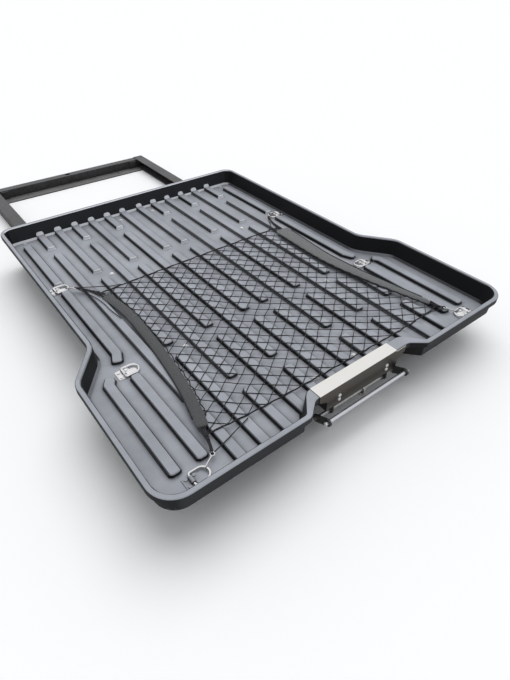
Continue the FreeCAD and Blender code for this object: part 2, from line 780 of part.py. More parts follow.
def handle_arm():
    half = arm_thickness / 2
    arm = stadium_x(shaft_y, shaft_height, grip_y, grip_height, arm_width, arm_x - half,
                    arm_x + half)
    return arm.cut([round_x(arm_x - half - 1, arm_x + half + 1, shaft_y, shaft_height,
                            shaft_diameter),
                    round_x(arm_x - half - 1, arm_x + half + 1, grip_y, grip_height,
                            grip_diameter)])


def handle_shaft():
    half = arm_x + arm_thickness / 2 + shaft_end
    return round_x(-half, half, shaft_y, shaft_height, shaft_diameter)


def handle_grip():
    return round_x(-grip_half_length, grip_half_length, grip_y, grip_height, grip_diameter)


def grip_bolt():
    end = grip_half_length + grip_bolt_head
    cap = round_x(grip_half_length, end, grip_y, grip_height, grip_diameter - 2)
    return cap.makeChamfer(1.0, [e for e in cap.Edges if len(e.Vertexes) == 1
                                 and e.BoundBox.XMin > end - 0.1])


def link_slot(y, z):
    """The hole for the rod's pin, long enough for the pin's rise as the lever turns."""
    width = link_pin_diameter + 2 * link_slot_play
    return stadium_x(y, z - link_slot_rise, y, z + link_slot_rise, width,
                     lever_x[0] - 1, lever_x[1] + 1)


def handle_crank():
    crank = stadium_x(shaft_y, shaft_height, shaft_y, crank_height, arm_width, *lever_x)
    return crank.cut([round_x(lever_x[0] - 1, lever_x[1] + 1, shaft_y, shaft_height,
                              shaft_diameter), link_slot(shaft_y, crank_height)])


def latch_rod():
    """The long rod from the crank to the pawl, with a cross pin near each end."""
    end = rod_diameter
    rod = round_y(shaft_y - end, pawl_y + end, rod_x, crank_height, rod_diameter)
    pins = [round_x(rod_x, lever_x[1] + shaft_end, y, crank_height, link_pin_diameter)
            for y in (shaft_y, pawl_y)]
    return rod.fuse(pins).removeSplitter()


def rod_guide(beam_y):
    rear = beam_y - beam_width / 2 + beam_sheet
    plate = box(rod_x - guide_width / 2, rod_x + guide_width / 2, rear, rear + bracket_sheet,
                channel_top, crank_height + guide_width / 2)
    return plate.cut(round_y(rear - 1, rear + bracket_sheet + 1, rod_x, crank_height,
                             rod_diameter + 2 * pivot_play))


def latch_pawl():
    """A lever on the latch pin, whose tooth stands over the lock slot."""
    lever = stadium_x(pawl_y, pawl_height, pawl_y, crank_height, pawl_hub_diameter, *lever_x)
    hub = round_x(lever_x[0], lever_x[1] + pawl_hub_end, pawl_y, pawl_height, pawl_hub_diameter)
    tip_rear, tip_front = tooth_y - tooth_length / 2, tooth_y + tooth_length / 2
    over = pawl_height + pawl_arm_rise
    top = over + pawl_arm_depth
    arm = plate_x(((pawl_y, pawl_height), (pawl_y + pawl_hub_diameter, over - bracket_sheet),
                   (tip_rear, over), (tip_front, over), (tip_front, top), (pawl_y, top)), *lever_x)
    cross = box(tooth_x[0], lever_x[1], tip_rear, tip_front, over, top)
    tooth = box(tooth_x[0], tooth_x[1], tip_rear, tip_front, bar_top + tooth_gap, top)
    pawl = lever.fuse([hub, arm, cross, tooth]).removeSplitter()
    bore = round_x(lever_x[0] - 1, lever_x[1] + pawl_hub_end + 1, pawl_y, pawl_height,
                   pawl_pin_diameter + 2 * pivot_play)
    return pawl.cut([bore, link_slot(pawl_y, crank_height)])


def pawl_cheeks():
    """Inner and outer faces of the two cheeks beside the pawl and the rod's end."""
    left = rod_x - rod_diameter / 2 - rod_hole_play - bracket_sheet
    right = lever_x[1] + pawl_hub_end + pawl_side_play
    return left, right + bracket_sheet


def pawl_bracket():
    left, right = pawl_cheeks()
    rear, front = pawl_y - pawl_bracket_reach[0], pawl_y + pawl_bracket_reach[1]
    foot = pawl_height - pawl_pin_diameter
    top = tray_underside - beam_sheet
    bracket = box(left, right, rear, front, foot, top)
    gap = box(left + bracket_sheet, right - bracket_sheet, rear - 1, front + 1,
              foot - 1, top - bracket_sheet)
    bore = round_x(left - 1, right + 1, pawl_y, pawl_height, pawl_pin_diameter)
    return bracket.cut([gap, bore])


def pawl_pin():
    left, right = pawl_cheeks()
    pin = round_x(left, right, pawl_y, pawl_height, pawl_pin_diameter)
    head = round_x(right, right + axle_head_thickness, pawl_y, pawl_height,
                   pawl_pin_diameter + 2 * axle_head_thickness)
    return pin.fuse(head).removeSplitter()


def in_net(x, y, margin):
    """Whether a place lies inside the net's outline by the margin."""
    if not net_rear_y + margin < y < net_front_y - margin:
        return False

    def side_x(line):
        for (xa, ya), (xb, yb) in zip(line, line[1:]):
            if yb <= y <= ya:
                return xa + (xb - xa) * (ya - y) / (ya - yb)
        return 0.0

    return side_x(net_left) + margin < x < side_x(net_right) - margin


def cargo_net():
    """The net as one thin sheet with square gaps and a leg to each hook."""
    low = tray_floor + rib_height + net_play
    rear_y, front_y = net_rear_y, net_front_y
    outline = [net_left[-1], (net_left[-1][0] + net_edge_slant, rear_y),
               (net_right[-1][0] - net_edge_slant, rear_y)]
    outline += list(reversed(net_right))
    outline += [(net_right[0][0] - net_edge_slant, front_y),
                (net_left[0][0] + net_edge_slant, front_y)]
    outline += net_left[:-1]
    sheet = prism([(x, y, 2.0) for x, y in outline], low, low + net_sheet)
    columns = int(front_width / net_pitch)
    rows = int((front_y - rear_y) / net_pitch)
    first_y = (front_y + rear_y - (rows - 1) * net_pitch) / 2
    half = net_hole / 2
    gaps = []
    for row in range(rows):
        for column in range(columns):
            x = (column - (columns - 1) / 2) * net_pitch
            y = first_y + row * net_pitch
            if all(in_net(x + a * half, y + b * half, net_gap_margin)
                   for a in (-1, 1) for b in (-1, 1)):
                gaps.append(box(x - half, x + half, y - half, y + half, low - 1,
                                low + net_sheet + 1))
    legs = []
    for name, side, x, y in ring_sites():
        if not name.startswith("middle"):
            corners = net_right if side > 0 else net_left
            corner = corners[0] if y > tray_length / 2 else corners[-1]
            leg = band([corner, net_leg_end(name, side, x, y)], net_leg_width / 2,
                       net_leg_width / 2 - 0.1)
            legs.append(prism(leg, low, low + net_sheet))
    print("gaps in the net:", len(gaps))
    return sheet.fuse(legs).removeSplitter().cut(gaps)


def webbing(line, width):
    low = tray_floor + rib_height + 2 * net_play + net_sheet
    return prism(band(line, width / 2, 3.0), low, low + webbing_thickness)


def write(name, solids, forward=0.0):
    """One STEP file for a sub-part, moved forward from the tray's own places if asked."""
    shapes = solids if isinstance(solids, list) else [solids]
    bodies = [solid for shape in shapes for solid in shape.Solids]
    shape = bodies[0] if len(bodies) == 1 else Part.makeCompound(bodies)
    shape = shape.translated(Vec(0, forward, 0))
    if not shape.isValid():
        print("not valid:", name)
    shape.exportStep(os.path.join("parts", name + ".step"))


def write_sides(name, shape, forward=0.0):
    write(name + "_right", shape, forward)
    write(name + "_left", mirrored(shape), forward)


def write_base():
    lock_places = (lock_y + tray_rear, lock_y + tray_rear - travel_left)
    write_sides("base_rail", base_rail())
    write("base_front_bar", base_front_bar())
    write("base_strap_front", base_strap(bed_hole_span_y / 2, True))
    write("base_strap_middle", base_strap(lock_places[0], False))
    write("base_strap_inner", base_strap(lock_places[1], False))
    write("base_strap_rear", base_strap(-bed_hole_span_y / 2, True))
    write("lock_block_middle", lock_block(lock_places[0]))
    write("lock_block_rear", lock_block(lock_places[1]))
    write("bump_stops", bump_stops())
    write("base_roller_axles", pair(base_axle()))
    write_sides("base_roller", base_roller())


def write_carriage():
    write_sides("carriage_rail", carriage_rail(), tray_rear)
    write("carriage_roller_axles", pair(carriage_axle(carriage_roller_front)) +
          pair(carriage_axle(carriage_roller_rear)), tray_rear)
    write_sides("carriage_roller_front", carriage_roller(carriage_roller_front), tray_rear)
    write_sides("carriage_roller_rear", carriage_roller(carriage_roller_rear), tray_rear)
    for name, y in zip(("rear", "mid_rear", "mid_front"), beam_rows):
        write("cross_beam_" + name, cross_beam(y - beam_width / 2, beam_width, beam_half_length),
              tray_rear)
    write("cross_beam_front", cross_beam(front_beam_rear, front_beam_width,
                                         front_beam_half_length), tray_rear)


def write_tray():
    write("tray", tray(), tray_rear)
    write("tray_screws", [tray_screw(x, y) for x, y in screw_places()], tray_rear)
    write("tray_washers", [tray_washer(x, y) for x, y in screw_places()], tray_rear)
    write("tray_nuts", [tray_nut(x, y) for x, y in screw_places()], tray_rear)
    sites = ring_sites()
    write("ring_plates", [ring_plate(x, y) for name, side, x, y in sites], tray_rear)
    write("ring_screws", [ring_screw(*place) for name, side, x, y in sites
                          for place in ring_screw_places(x, y)], tray_rear)
    for name, side, x, y in sites:
        write("lashing_ring_" + name, d_ring(side, x, y), tray_rear)
        if not name.startswith("middle"):
            write("net_hook_" + name, net_hook(name, side, x, y), tray_rear)
    write("cargo_net", cargo_net(), tray_rear)
    write("net_webbing_left", webbing(net_left, webbing_width_left), tray_rear)
    write("net_webbing_right", webbing(net_right, webbing_width_right), tray_rear)


def write_handle():
    write("handle_plate", handle_plate(), tray_rear)
    write("handle_brackets", pair(handle_bracket()), tray_rear)
    write("handle_bracket_bolts", [bracket_bolt(side * bracket_bolt_x, drop)
                                   for side in (-1, 1) for drop in bracket_bolt_drops], tray_rear)
    write("handle_shaft", handle_shaft(), tray_rear)
    write_sides("handle_arm", handle_arm(), tray_rear)
    write("handle_grip", handle_grip(), tray_rear)
    write("grip_bolts", pair(grip_bolt()), tray_rear)
    write("handle_crank", handle_crank(), tray_rear)
    write("latch_rod", latch_rod(), tray_rear)
    write("rod_guide_rear", rod_guide(beam_rows[1]), tray_rear)
    write("rod_guide_front", rod_guide(beam_rows[2]), tray_rear)
    write("latch_pawl", latch_pawl(), tray_rear)
    write("pawl_bracket", pawl_bracket(), tray_rear)
    write("pawl_pin", pawl_pin(), tray_rear)


def main():
    os.makedirs("parts", exist_ok=True)
    write_base()
    write_carriage()
    write_tray()
    write_handle()


main()
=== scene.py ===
import bpy
import bmesh
import json
import math
from mathutils import Matrix, Vector, noise
from mathutils.bvhtree import BVHTree

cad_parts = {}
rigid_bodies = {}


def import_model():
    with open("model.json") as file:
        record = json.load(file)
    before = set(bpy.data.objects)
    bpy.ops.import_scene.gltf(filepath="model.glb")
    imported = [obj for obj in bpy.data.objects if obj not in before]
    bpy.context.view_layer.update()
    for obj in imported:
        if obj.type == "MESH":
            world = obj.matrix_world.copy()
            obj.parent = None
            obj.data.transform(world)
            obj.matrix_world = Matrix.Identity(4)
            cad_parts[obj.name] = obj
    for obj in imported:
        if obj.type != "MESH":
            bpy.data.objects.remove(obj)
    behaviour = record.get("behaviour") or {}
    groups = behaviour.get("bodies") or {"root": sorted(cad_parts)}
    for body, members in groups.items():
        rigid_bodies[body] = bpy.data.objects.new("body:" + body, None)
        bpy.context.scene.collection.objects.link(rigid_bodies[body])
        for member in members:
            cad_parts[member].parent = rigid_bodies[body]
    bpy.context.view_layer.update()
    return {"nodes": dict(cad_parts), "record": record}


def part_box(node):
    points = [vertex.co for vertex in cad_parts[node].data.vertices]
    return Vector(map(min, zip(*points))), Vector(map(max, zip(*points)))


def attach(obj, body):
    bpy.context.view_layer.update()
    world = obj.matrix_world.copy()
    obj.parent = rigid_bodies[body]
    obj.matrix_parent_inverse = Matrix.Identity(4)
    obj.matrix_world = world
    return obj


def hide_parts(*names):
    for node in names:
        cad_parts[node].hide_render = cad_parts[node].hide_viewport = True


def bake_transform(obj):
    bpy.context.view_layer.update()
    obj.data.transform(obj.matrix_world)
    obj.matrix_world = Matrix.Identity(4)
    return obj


for leftover in list(bpy.data.objects):  # Blender's own starting cube, lamp and camera
    bpy.data.objects.remove(leftover)
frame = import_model()
nodes = frame["nodes"]
collection = bpy.context.scene.collection
trayLow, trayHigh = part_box("tray")
trayWall = 0.0045
trayFloor = trayLow.z + trayWall
ribTop = trayFloor + 0.012
print("frame loaded:", len(nodes), "nodes")


def onTray(x, y, z=0.0):
    # a place in millimetres from the tray's rear lip and floor, in the scene's metres
    return Vector((x / 1000, trayLow.y + y / 1000, trayFloor + z / 1000))


# node helpers

def addNode(tree, kind, place=None, **settings):
    made = tree.nodes.new(kind)
    for key, value in settings.items():
        setattr(made, key, value)
    for key, value in (place or {}).items():
        made.inputs[key].default_value = value
    return made


def newGroup(name, inputs, outputs):
    group = bpy.data.node_groups.new(name, "ShaderNodeTree")
    for label, kind, value in inputs:
        socket = group.interface.new_socket(name=label, in_out="INPUT", socket_type=kind)
        socket.default_value = value
    for label, kind in outputs:
        group.interface.new_socket(name=label, in_out="OUTPUT", socket_type=kind)
    return group, group.nodes.new("NodeGroupInput"), group.nodes.new("NodeGroupOutput")


def useGroup(tree, group, **values):
    made = tree.nodes.new("ShaderNodeGroup")
    made.node_tree = group
    for key, value in values.items():
        made.inputs[key].default_value = value
    return made


def newMaterial(name, metallic=0.0, roughness=0.5, specular=0.5, sheen=0.0, sheenRoughness=0.5,
                anisotropic=0.0):
    material = bpy.data.materials.new(name)
    material.use_nodes = True
    shader = material.node_tree.nodes["Principled BSDF"]
    shader.inputs["Metallic"].default_value = metallic
    shader.inputs["Roughness"].default_value = roughness
    shader.inputs["Specular IOR Level"].default_value = specular
    shader.inputs["Sheen Weight"].default_value = sheen
    shader.inputs["Sheen Roughness"].default_value = sheenRoughness
    shader.inputs["Anisotropic"].default_value = anisotropic
    return material, material.node_tree, shader


def addBump(tree, shader, height, strength, distance):
    bump = addNode(tree, "ShaderNodeBump", {"Strength": strength, "Distance": distance})
    tree.links.new(height, bump.inputs["Height"])
    tree.links.new(bump.outputs["Normal"], shader.inputs["Normal"])


# effects that several materials use

def makeGrain():
    # moulded or sprayed grain: a fine height, and slow patches from 0 to 1
    group, given, result = newGroup(
        "fineGrain",
        [("GrainScale", "NodeSocketFloat", 900.0), ("PatchScale", "NodeSocketFloat", 6.0)],
        [("Height", "NodeSocketFloat"), ("Patches", "NodeSocketFloat")])
    link = group.links.new
    where = group.nodes.new("ShaderNodeTexCoord")
    fine = addNode(group, "ShaderNodeTexNoise", {"Detail": 2.0, "Roughness": 0.6})
    slow = addNode(group, "ShaderNodeTexNoise", {"Detail": 5.0, "Roughness": 0.62})
    for texture, scale in ((fine, "GrainScale"), (slow, "PatchScale")):
        link(where.outputs["Object"], texture.inputs["Vector"])
        link(given.outputs[scale], texture.inputs["Scale"])
    spread = addNode(group, "ShaderNodeMapRange", {"From Min": 0.3, "From Max": 0.7})
    link(slow.outputs["Fac"], spread.inputs["Value"])
    link(fine.outputs["Fac"], result.inputs["Height"])
    link(spread.outputs["Result"], result.inputs["Patches"])
    return group


def makeSkyFilm():
    # painted sheen: a pale colour on what faces up and to the rear, standing for the light from
    # above, broken by patches
    group, given, result = newGroup(
        "skyFilm",
        [("Clean", "NodeSocketColor", (0.02, 0.02, 0.02, 1.0)),
         ("Film", "NodeSocketColor", (0.2, 0.2, 0.2, 1.0)),
         ("Amount", "NodeSocketFloat", 1.0), ("Patches", "NodeSocketFloat", 0.5),
         ("Break", "NodeSocketFloat", 0.2),
         ("SheenFrom", "NodeSocketVector", (-0.05, -0.33, 0.94)),
         ("SheenStart", "NodeSocketFloat", 0.62), ("SheenFull", "NodeSocketFloat", 0.9)],
        [("Color", "NodeSocketColor"), ("Mask", "NodeSocketFloat")])
    link = group.links.new
    facing = group.nodes.new("ShaderNodeNewGeometry")
    towards = addNode(group, "ShaderNodeVectorMath", operation="DOT_PRODUCT")
    link(facing.outputs["Normal"], towards.inputs[0])
    link(given.outputs["SheenFrom"], towards.inputs[1])
    rise = addNode(group, "ShaderNodeMapRange", interpolation_type="SMOOTHSTEP")
    link(towards.outputs["Value"], rise.inputs["Value"])
    link(given.outputs["SheenStart"], rise.inputs["From Min"])
    link(given.outputs["SheenFull"], rise.inputs["From Max"])
    worn = addNode(group, "ShaderNodeMath", operation="MULTIPLY")
    link(given.outputs["Patches"], worn.inputs[0])
    link(given.outputs["Break"], worn.inputs[1])
    kept = addNode(group, "ShaderNodeMath", operation="SUBTRACT")
    link(given.outputs["Amount"], kept.inputs[0])
    link(worn.outputs["Value"], kept.inputs[1])
    mask = addNode(group, "ShaderNodeMath", operation="MULTIPLY", use_clamp=True)
    link(rise.outputs["Result"], mask.inputs[0])
    link(kept.outputs["Value"], mask.inputs[1])
    mix = addNode(group, "ShaderNodeMix", data_type="RGBA")
    link(mask.outputs["Value"], mix.inputs["Factor"])
    link(given.outputs["Clean"], mix.inputs[6])
    link(given.outputs["Film"], mix.inputs[7])
    link(mix.outputs[2], result.inputs["Color"])
    link(mask.outputs["Value"], result.inputs["Mask"])
    return group


def makeBrushing():
    # brush lines drawn out along one axis by the stretch vector
    group, given, result = newGroup(
        "brushLines",
        [("Stretch", "NodeSocketVector", (4.0, 400.0, 400.0)), ("Scale", "NodeSocketFloat", 4.0)],
        [("Height", "NodeSocketFloat"), ("Lines", "NodeSocketFloat")])
    link = group.links.new
    where = group.nodes.new("ShaderNodeTexCoord")
    drawn = addNode(group, "ShaderNodeVectorMath", operation="MULTIPLY")
    link(where.outputs["Object"], drawn.inputs[0])
    link(given.outputs["Stretch"], drawn.inputs[1])
    lines = addNode(group, "ShaderNodeTexNoise", {"Detail": 4.0, "Roughness": 0.7})
    link(drawn.outputs["Vector"], lines.inputs["Vector"])
    link(given.outputs["Scale"], lines.inputs["Scale"])
    link(lines.outputs["Fac"], result.inputs["Height"])
    link(lines.outputs["Fac"], result.inputs["Lines"])
    return group


def makeWeave():
    # two crossing rows of threads
    group, given, result = newGroup(
        "crossWeave", [("Threads", "NodeSocketFloat", 500.0)],
        [("Height", "NodeSocketFloat"), ("Gaps", "NodeSocketFloat")])
    link = group.links.new
    where = group.nodes.new("ShaderNodeTexCoord")
    rows = []
    for direction in ("X", "Y"):
        wave = addNode(group, "ShaderNodeTexWave", {"Distortion": 1.5, "Detail": 1.0},
                       wave_type="BANDS", bands_direction=direction)
        link(where.outputs["Object"], wave.inputs["Vector"])
        link(given.outputs["Threads"], wave.inputs["Scale"])
        rows.append(wave.outputs["Fac"])
    crossed = addNode(group, "ShaderNodeMath", operation="MAXIMUM")
    link(rows[0], crossed.inputs[0])
    link(rows[1], crossed.inputs[1])
    link(crossed.outputs["Value"], result.inputs["Height"])
    link(crossed.outputs["Value"], result.inputs["Gaps"])
    return group


def makeEdgeWear():
    # a mask on sharp outer edges
    group, given, result = newGroup(
        "edgeWear", [("Start", "NodeSocketFloat", 0.53), ("Full", "NodeSocketFloat", 0.6)],
        [("Mask", "NodeSocketFloat")])
    link = group.links.new
    facing = group.nodes.new("ShaderNodeNewGeometry")
    edge = group.nodes.new("ShaderNodeMapRange")
    link(facing.outputs["Pointiness"], edge.inputs["Value"])
    link(given.outputs["Start"], edge.inputs["From Min"])
    link(given.outputs["Full"], edge.inputs["From Max"])
    where = group.nodes.new("ShaderNodeTexCoord")
    chips = addNode(group, "ShaderNodeTexNoise", {"Scale": 90.0, "Detail": 3.0})
    link(where.outputs["Object"], chips.inputs["Vector"])
    broken = addNode(group, "ShaderNodeMath", operation="MULTIPLY", use_clamp=True)
    link(edge.outputs["Result"], broken.inputs[0])
    link(chips.outputs["Fac"], broken.inputs[1])
    link(broken.outputs["Value"], result.inputs["Mask"])
    return group


fineGrain = makeGrain()
skyFilm = makeSkyFilm()
brushLines = makeBrushing()
crossWeave = makeWeave()
edgeWear = makeEdgeWear()


# materials

def rangeTo(tree, source, low, high):
    mapped = addNode(tree, "ShaderNodeMapRange", {"To Min": low, "To Max": high})
    tree.links.new(source, mapped.inputs["Value"])
    return mapped.outputs["Result"]


def paintedCreaseShade(tree, colour, reach, depth):
    # painted shade: darkens a colour in the creases beside the ribs and under the rim
    around = addNode(tree, "ShaderNodeAmbientOcclusion", {"Distance": reach}, samples=8,
                     only_local=True)
    shade = addNode(tree, "ShaderNodeMapRange", {"From Min": 0.35, "From Max": 0.95,
                                                 "To Min": depth, "To Max": 1.0})
    tree.links.new(around.outputs["AO"], shade.inputs["Value"])
    dark = addNode(tree, "ShaderNodeMix", data_type="RGBA", blend_type="MULTIPLY")
    dark.inputs["Factor"].default_value = 1.0
    tree.links.new(colour, dark.inputs[6])
    tree.links.new(shade.outputs["Result"], dark.inputs[7])
    return dark.outputs[2]


def ramp(tree, source, low, high):
    mapped = addNode(tree, "ShaderNodeMapRange", {"From Min": low, "From Max": high},
                     interpolation_type="SMOOTHSTEP")
    tree.links.new(source, mapped.inputs["Value"])
    return mapped.outputs["Result"]


def times(tree, first, second):
    made = addNode(tree, "ShaderNodeMath", operation="MULTIPLY")
    tree.links.new(first, made.inputs[0])
    tree.links.new(second, made.inputs[1])
    return made.outputs["Value"]


def over(tree, under, mask, tint):
    made = addNode(tree, "ShaderNodeMix", data_type="RGBA")
    tree.links.new(mask, made.inputs["Factor"])
    tree.links.new(under, made.inputs[6])
    made.inputs[7].default_value = (*tint, 1.0)
    return made.outputs[2]


def paintedCoveHighlights(tree, colour, look):
    # painted light: a greyer colour on the walls that face the rear, and painted highlights on the
    # coves and rib ends where the front half looks to the rear
    facing = tree.nodes.new("ShaderNodeNewGeometry")
    normal = tree.nodes.new("ShaderNodeSeparateXYZ")
    tree.links.new(facing.outputs["Normal"], normal.inputs["Vector"])
    where = tree.nodes.new("ShaderNodeTexCoord")
    spot = tree.nodes.new("ShaderNodeSeparateXYZ")
    tree.links.new(where.outputs["Object"], spot.inputs["Vector"])
    # painted light: the walls that face the rear are made greyer
    wall = ramp(tree, normal.outputs["Y"], -0.85, -0.98)
    slope = times(tree, ramp(tree, normal.outputs["Y"], -0.3, -0.5),
                  ramp(tree, normal.outputs["Z"], 0.1, 0.24))
    ends = times(tree, slope, ramp(tree, spot.outputs["Y"], *look["coveHighlightFrom"]))
    return over(tree, over(tree, colour, wall, look["wall"]), ends, look["coveHighlight"])


def blackWithPaintedLight(name, look):
    # black plastic or powder coat, with a painted sheen on what faces up, painted shade in the
    # creases and, where the look asks for it, painted highlights at the front
    material, tree, shader = newMaterial(name, roughness=look["roughness"][0],
                                         specular=look["specular"])
    grain = useGroup(tree, fineGrain, GrainScale=look["grain"], PatchScale=look["patch"])
    skySheen = useGroup(tree, skyFilm, Clean=(*look["black"], 1.0), Film=(*look["skySheen"], 1.0),
                    Amount=look["amount"], Break=look["break"])
    tree.links.new(grain.outputs["Patches"], skySheen.inputs["Patches"])
    wear = useGroup(tree, edgeWear, Start=look["wearStart"], Full=look["wearStart"] + 0.08)
    worn = addNode(tree, "ShaderNodeMix", data_type="RGBA")
    worn.inputs[7].default_value = (*look["edge"], 1.0)
    tree.links.new(wear.outputs["Mask"], worn.inputs["Factor"])
    tree.links.new(skySheen.outputs["Color"], worn.inputs[6])
    shaded = paintedCreaseShade(tree, worn.outputs[2], look["shadeReach"], look["shadeDepth"])
    if "coveHighlight" in look:
        shaded = paintedCoveHighlights(tree, shaded, look)
    tree.links.new(shaded, shader.inputs["Base Color"])
    tree.links.new(rangeTo(tree, grain.outputs["Patches"], *look["roughness"]),
                   shader.inputs["Roughness"])
    addBump(tree, shader, grain.outputs["Height"], look["bump"], 0.0004)
    return material


def brushedMetal(name, look):
    material, tree, shader = newMaterial(name, metallic=look.get("metallic", 1.0),
                                         roughness=look["roughness"][0],
                                         anisotropic=look.get("anisotropic", 0.0))
    lines = useGroup(tree, brushLines, Stretch=look["stretch"], Scale=look["scale"])
    tone = addNode(tree, "ShaderNodeMix", data_type="RGBA")
    tone.inputs[6].default_value = (*look["dark"], 1.0)
    tone.inputs[7].default_value = (*look["light"], 1.0)
    tree.links.new(lines.outputs["Lines"], tone.inputs["Factor"])
    tree.links.new(tone.outputs[2], shader.inputs["Base Color"])
    tree.links.new(rangeTo(tree, lines.outputs["Lines"], *look["roughness"]),
                   shader.inputs["Roughness"])
    addBump(tree, shader, lines.outputs["Height"], look["bump"], 0.0002)
    return material


def foldedPlateSteel():
    # bright on the folded top, with a painted dark reflection on the upright apron
    look = {"top": (0.80, 0.79, 0.77), "apron": (0.105, 0.092, 0.078), "lines": (5.0, 260.0, 260.0)}
    material, tree, shader = newMaterial("foldedPlateSteel", metallic=1.0, roughness=0.3,
                                         anisotropic=0.4)
    lines = useGroup(tree, brushLines, Stretch=look["lines"], Scale=3.0)
    skySheen = useGroup(tree, skyFilm, Clean=(*look["apron"], 1.0), Film=(*look["top"], 1.0),
                    Amount=1.0, Break=0.04)
    tree.links.new(lines.outputs["Lines"], skySheen.inputs["Patches"])
    tree.links.new(skySheen.outputs["Color"], shader.inputs["Base Color"])
    tree.links.new(rangeTo(tree, lines.outputs["Lines"], 0.22, 0.42), shader.inputs["Roughness"])
    addBump(tree, shader, lines.outputs["Height"], 0.12, 0.0002)
    return material


def bundledThread(name, look):
    # braided cord or woven webbing
    material, tree, shader = newMaterial(name, roughness=look["roughness"], specular=0.3,
                                         sheen=look["sheen"], sheenRoughness=0.4)
    weave = useGroup(tree, crossWeave, Threads=look["threads"])
    tone = addNode(tree, "ShaderNodeMix", data_type="RGBA")
    tone.inputs[6].default_value = (*look["dark"], 1.0)
    tone.inputs[7].default_value = (*look["light"], 1.0)
    tree.links.new(weave.outputs["Gaps"], tone.inputs["Factor"])
    tree.links.new(tone.outputs[2], shader.inputs["Base Color"])
    addBump(tree, shader, weave.outputs["Height"], 0.5, 0.0005)
    return material


# the tray's pale colour on what faces up is a painted sheen of the light from above, its greyer
# rear-facing walls and pale coves and rib ends are painted light, and its crease darkening is
# painted shade; the coat and rubber get a fainter painted sheen and the same painted crease shade
trayLook = {"black": (0.007, 0.0075, 0.0085), "skySheen": (0.4, 0.415, 0.455), "amount": 1.0,
            "wall": (0.03, 0.032, 0.036), "coveHighlight": (0.86, 0.88, 0.92), "coveHighlightFrom": (-0.6, -0.35),
            "break": 0.26, "edge": (0.3, 0.31, 0.33), "wearStart": 0.56, "grain": 700.0,
            "patch": 7.0, "roughness": (0.5, 0.62), "specular": 0.2, "bump": 0.25,
            "shadeReach": 0.016, "shadeDepth": 0.12}
coatLook = {"black": (0.006, 0.006, 0.0065), "skySheen": (0.045, 0.047, 0.05), "amount": 0.9,
            "break": 0.35, "edge": (0.09, 0.09, 0.09), "wearStart": 0.53, "grain": 1400.0,
            "patch": 11.0, "roughness": (0.38, 0.5), "specular": 0.3, "bump": 0.15,
            "shadeReach": 0.01, "shadeDepth": 0.3}
zincLook = {"dark": (0.3, 0.3, 0.3), "light": (0.52, 0.52, 0.5), "stretch": (60.0, 60.0, 60.0),
            "scale": 2.0, "roughness": (0.3, 0.48), "bump": 0.1}
rollerLook = {"dark": (0.32, 0.32, 0.32), "light": (0.55, 0.55, 0.55),
              "stretch": (400.0, 20.0, 20.0), "scale": 2.0, "roughness": (0.22, 0.36), "bump": 0.1}
fastenerLook = {"dark": (0.7, 0.7, 0.7), "light": (0.93, 0.93, 0.93), "stretch": (90.0, 90.0, 90.0),
                "scale": 3.0, "roughness": (0.38, 0.55), "bump": 0.08, "metallic": 0.35}
chromeLook = {"dark": (0.6, 0.6, 0.61), "light": (0.88, 0.88, 0.89), "stretch": (30.0, 30.0, 30.0),
              "scale": 2.0, "roughness": (0.07, 0.16), "bump": 0.03}
gripLook = {"dark": (0.46, 0.48, 0.51), "light": (0.66, 0.68, 0.72), "stretch": (8.0, 300.0, 300.0),
            "scale": 2.0, "roughness": (0.3, 0.42), "bump": 0.1}
cordLook = {"dark": (0.006, 0.006, 0.007), "light": (0.022, 0.022, 0.025), "threads": 420.0,
            "roughness": 0.8, "sheen": 0.15}
webbingLook = {"dark": (0.03, 0.031, 0.033), "light": (0.085, 0.087, 0.09), "threads": 330.0,
               "roughness": 0.62, "sheen": 0.35}
# the right band's webbing: a lighter copy of the same webbing, painted light for a band that faces
# up into the light
litWebbingPaintLook = dict(webbingLook, dark=(0.055, 0.058, 0.06), light=(0.2, 0.205, 0.205))
rubberLook = dict(coatLook, skySheen=(0.05, 0.05, 0.05), roughness=(0.75, 0.85), specular=0.3)

# the front strap's paler top: dust, and a painted sheen of the light from above, with less painted
# crease shade
dustAndSheenCoatLook = dict(coatLook, skySheen=(0.3, 0.3, 0.29), amount=1.0, shadeDepth=0.6)

trayPlastic = blackWithPaintedLight("trayPlastic", trayLook)
litWebbingPaint = bundledThread("litWebbingPaint", litWebbingPaintLook)
frameCoat = blackWithPaintedLight("frameCoat", coatLook)
slotMaterials = {
    "tray_plastic": trayPlastic,
    "base_paint": frameCoat,
    "carriage_paint": frameCoat,
    "handle_paint": frameCoat,
    "stop_rubber": blackWithPaintedLight("stopRubber", rubberLook),
    "zinc_steel": brushedMetal("zincSteel", zincLook),
    "roller_steel": brushedMetal("rollerSteel", rollerLook),
    "bright_fasteners": brushedMetal("brightFasteners", fastenerLook),
    "ring_chrome": brushedMetal("ringChrome", chromeLook),
    "plate_steel": foldedPlateSteel(),
    "grip_metal": brushedMetal("gripMetal", gripLook),
    "net_cord": bundledThread("netCord", cordLook),
    "net_webbing": bundledThread("netWebbing", webbingLook),
}
slotOf = {entry["node"]: entry["material_slot"] for entry in frame["record"]["subparts"]}
for nodeName, thing in nodes.items():
    for place in thing.material_slots:
        place.material = slotMaterials[slotOf[nodeName]]
# the front strap takes the coat with dust and a painted sheen on its top
dustAndSheenCoat = blackWithPaintedLight("dustAndSheenCoat", dustAndSheenCoatLook)
for place in nodes["base_strap_front"].material_slots:  # lies in the dust beside the front bar
    place.material = dustAndSheenCoat
print("materials made:", len(bpy.data.materials))


# mesh helpers

def newPiece(name, vertices, faces, material, smooth=True):
    mesh = bpy.data.meshes.new(name)
    mesh.from_pydata([tuple(v) for v in vertices], [], faces)
    mesh.materials.append(material)
    for face in mesh.polygons:
        face.use_smooth = smooth
    mesh.update()
    thing = bpy.data.objects.new(name, mesh)
    collection.objects.link(thing)
    return thing


